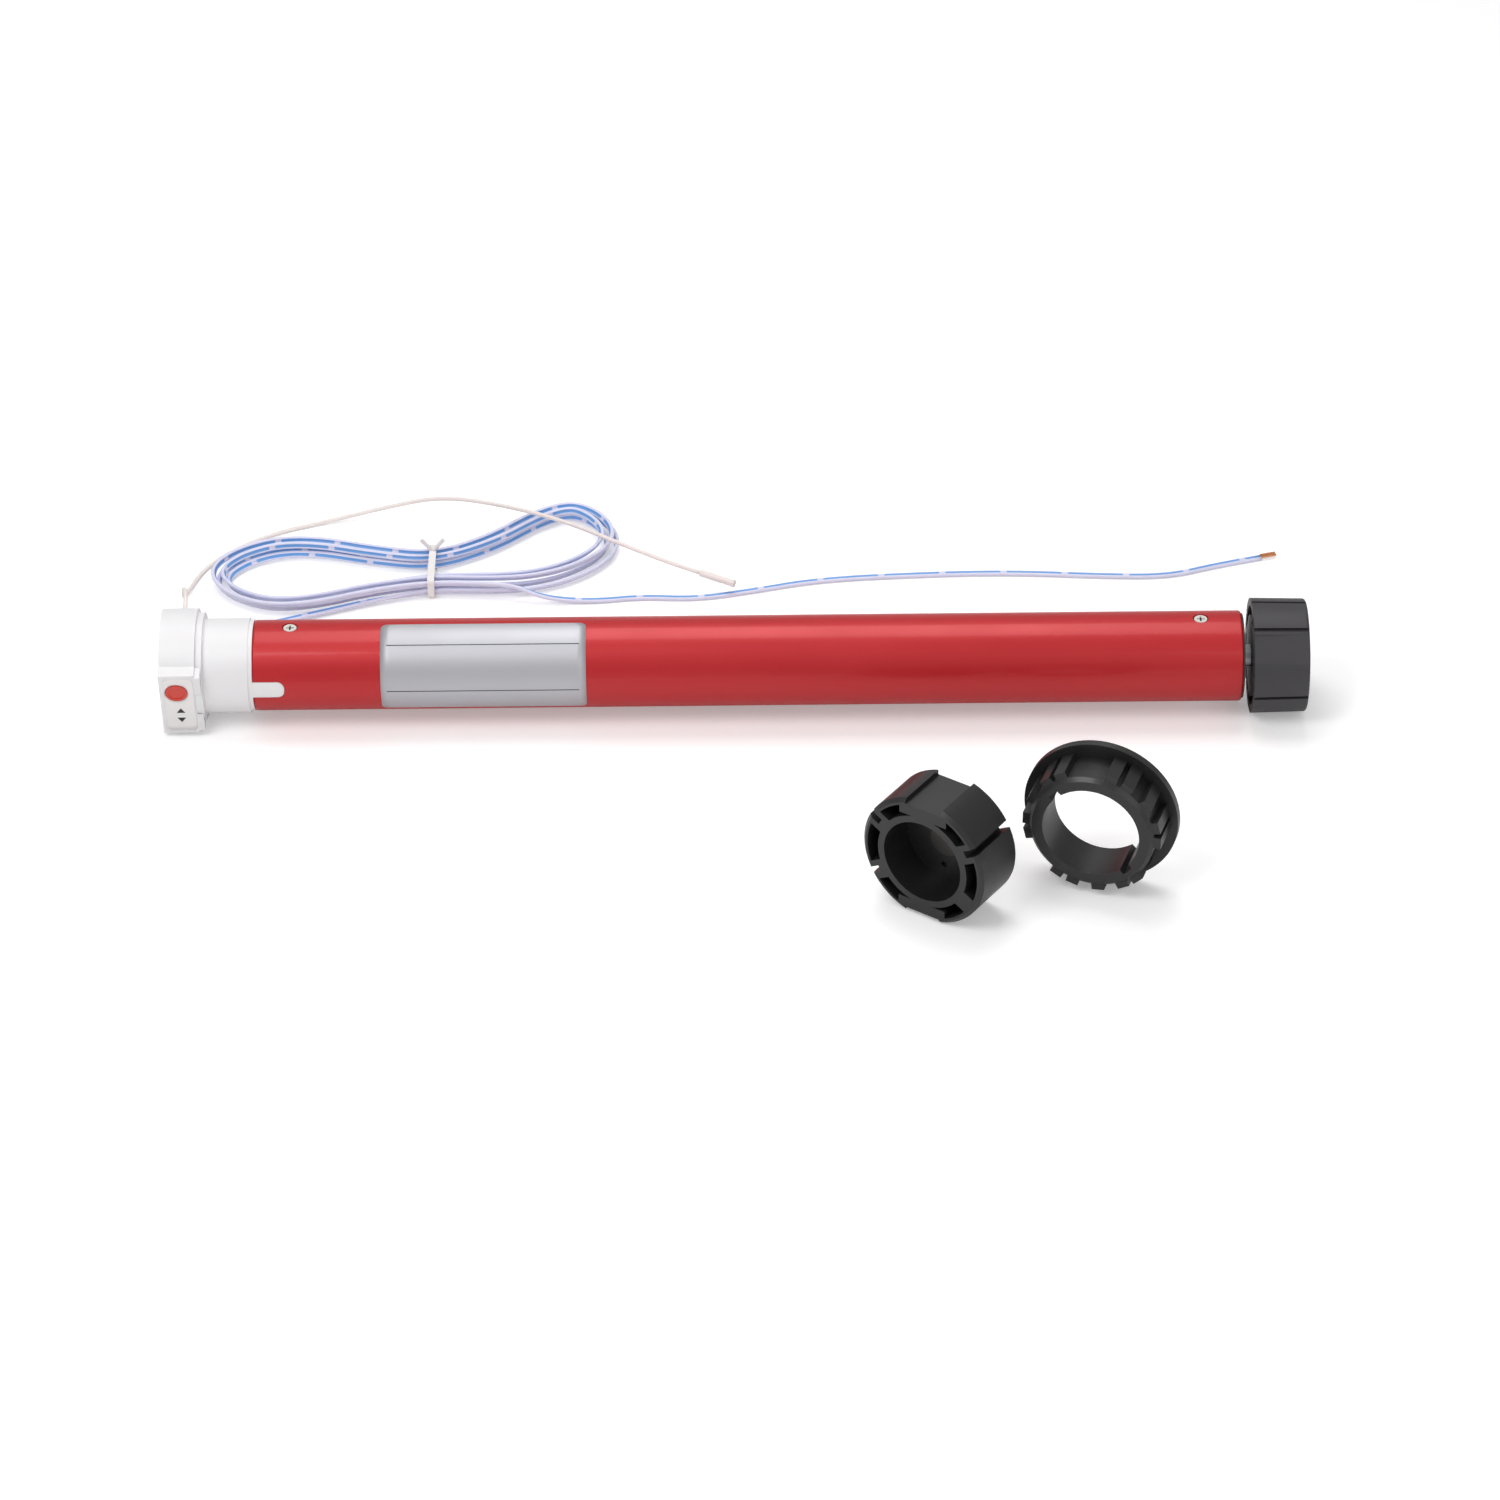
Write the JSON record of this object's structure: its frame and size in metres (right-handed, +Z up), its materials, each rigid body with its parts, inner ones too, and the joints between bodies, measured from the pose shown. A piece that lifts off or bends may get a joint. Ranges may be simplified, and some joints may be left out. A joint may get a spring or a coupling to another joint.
{
  "type": "tubular roller blind motor",
  "caption": "Slim geared tube motor for a roller blind, with push-button head, drive wheel, corded supply, aerial wire and spare tube adapters.",
  "frame": {"origin": "centre of the bracket socket in the head's outer face, on the motor's axis", "axes": "+X along the motor's axis from the head to the drive wheel, +Z up, the motor lying on a floor"},
  "size_m": [0.3151, 0.2092, 0.042],
  "materials": {
    "head_plastic": "satin translucent white",
    "button_red": "gloss",
    "tube_red": "satin metallic lacquer",
    "steel": "brushed",
    "dark_plastic": "fine matt",
    "black_plastic": "fine matt",
    "board_green": "solder mask",
    "copper": "enamelled copper",
    "brass": "turned",
    "magnet": "sintered",
    "gear_plastic": "natural acetal",
    "cord_sheath": "smooth flexible sheath",
    "aerial_sheath": "smooth flexible sheath"
  },
  "bodies": {
    "motor": {"adapter_insert": "steel", "aerial_grommet": "aerial_sheath", "aerial_sleeve": "aerial_sheath", "aerial_wire": "aerial_sheath", "brushes": "magnet", "conductor_tips": "copper", "control_board": "board_green", "cord_grommet": "cord_sheath", "cord_tie": "aerial_sheath", "crown_ring": "black_plastic", "drive_adapter": "black_plastic", "end_plug": "dark_plastic", "field_magnets": "magnet", "front_bush": "brass", "gearbox_plate": "dark_plastic", "gearbox_screws": "steel", "head_barrel": "head_plastic", "head_end_cap": "head_plastic", "head_screws": "steel", "inner_output_bush": "brass", "motor_can": "steel", "motor_end_bell": "dark_plastic", "motor_terminals": "copper", "motor_tube": "tube_red", "outer_output_bush": "brass", "power_cord_hank": "cord_sheath", "power_cord_lead": "cord_sheath", "power_cord_tail": "cord_sheath", "push_switch": "steel", "radio_board": "board_green", "rear_bush": "brass", "ring_gear": "steel"},
    "button": {"set_button": "button_red"},
    "rotor": {"rotor_shaft": "steel", "rotor_core": "steel", "rotor_windings": "copper", "commutator": "copper", "encoder_magnet": "magnet", "sun_gear_1": "steel"},
    "first_carrier": {"carrier_1": "gear_plastic", "planet_pins_1": "steel"},
    "second_carrier": {"carrier_2": "gear_plastic", "planet_pins_2": "steel"},
    "drive": {"carrier_3": "steel", "planet_pins_3": "steel", "output_shaft": "steel", "shaft_clip": "steel", "drive_wheel": "dark_plastic", "wheel_screw": "steel"},
    "planet_1a": {"planet_gear_1a": "gear_plastic"},
    "planet_1b": {"planet_gear_1b": "gear_plastic"},
    "planet_1c": {"planet_gear_1c": "gear_plastic"},
    "planet_2a": {"planet_gear_2a": "gear_plastic"},
    "planet_2b": {"planet_gear_2b": "gear_plastic"},
    "planet_2c": {"planet_gear_2c": "gear_plastic"},
    "planet_3a": {"planet_gear_3a": "gear_plastic"},
    "planet_3b": {"planet_gear_3b": "gear_plastic"},
    "planet_3c": {"planet_gear_3c": "gear_plastic"}
  },
  "joints": [
    {"name": "button_press", "type": "slide", "parent": "motor", "child": "button", "axis": [0, 0.9732, 0.23], "range_m": [0, 0.0005], "stiffness_N_per_m": 800},
    {"name": "rotor_spin", "type": "hinge", "parent": "motor", "child": "rotor", "pos_m": [0, 0, 0], "axis": [1, 0, 0], "continuous": true},
    {"name": "first_carrier_spin", "type": "hinge", "parent": "motor", "child": "first_carrier", "pos_m": [0, 0, 0], "axis": [1, 0, 0], "continuous": true},
    {"name": "second_carrier_spin", "type": "hinge", "parent": "motor", "child": "second_carrier", "pos_m": [0, 0, 0], "axis": [1, 0, 0], "continuous": true},
    {"name": "drive_spin", "type": "hinge", "parent": "motor", "child": "drive", "pos_m": [0, 0, 0], "axis": [1, 0, 0], "continuous": true},
    {"name": "planet_1a_spin", "type": "hinge", "parent": "first_carrier", "child": "planet_1a", "pos_m": [0, 0.006, 0], "axis": [1, 0, 0], "continuous": true},
    {"name": "planet_1b_spin", "type": "hinge", "parent": "first_carrier", "child": "planet_1b", "pos_m": [0, -0.003, 0.0052], "axis": [1, 0, 0], "continuous": true},
    {"name": "planet_1c_spin", "type": "hinge", "parent": "first_carrier", "child": "planet_1c", "pos_m": [0, -0.003, -0.0052], "axis": [1, 0, 0], "continuous": true},
    {"name": "planet_2a_spin", "type": "hinge", "parent": "second_carrier", "child": "planet_2a", "pos_m": [0, 0.006, 0], "axis": [1, 0, 0], "continuous": true},
    {"name": "planet_2b_spin", "type": "hinge", "parent": "second_carrier", "child": "planet_2b", "pos_m": [0, -0.003, 0.0052], "axis": [1, 0, 0], "continuous": true},
    {"name": "planet_2c_spin", "type": "hinge", "parent": "second_carrier", "child": "planet_2c", "pos_m": [0, -0.003, -0.0052], "axis": [1, 0, 0], "continuous": true},
    {"name": "planet_3a_spin", "type": "hinge", "parent": "drive", "child": "planet_3a", "pos_m": [0, 0.006, 0], "axis": [1, 0, 0], "continuous": true},
    {"name": "planet_3b_spin", "type": "hinge", "parent": "drive", "child": "planet_3b", "pos_m": [0, -0.003, 0.0052], "axis": [1, 0, 0], "continuous": true},
    {"name": "planet_3c_spin", "type": "hinge", "parent": "drive", "child": "planet_3c", "pos_m": [0, -0.003, -0.0052], "axis": [1, 0, 0], "continuous": true}
  ],
  "couplings": [
    {"joint": "first_carrier_spin", "follows": "rotor_spin", "ratio": 0.2},
    {"joint": "second_carrier_spin", "follows": "rotor_spin", "ratio": 0.04},
    {"joint": "drive_spin", "follows": "rotor_spin", "ratio": 0.008},
    {"joint": "planet_1a_spin", "follows": "rotor_spin", "ratio": -0.53333},
    {"joint": "planet_1b_spin", "follows": "rotor_spin", "ratio": -0.53333},
    {"joint": "planet_1c_spin", "follows": "rotor_spin", "ratio": -0.53333},
    {"joint": "planet_2a_spin", "follows": "rotor_spin", "ratio": -0.10667},
    {"joint": "planet_2b_spin", "follows": "rotor_spin", "ratio": -0.10667},
    {"joint": "planet_2c_spin", "follows": "rotor_spin", "ratio": -0.10667},
    {"joint": "planet_3a_spin", "follows": "rotor_spin", "ratio": -0.021333},
    {"joint": "planet_3b_spin", "follows": "rotor_spin", "ratio": -0.021333},
    {"joint": "planet_3c_spin", "follows": "rotor_spin", "ratio": -0.021333}
  ]
}
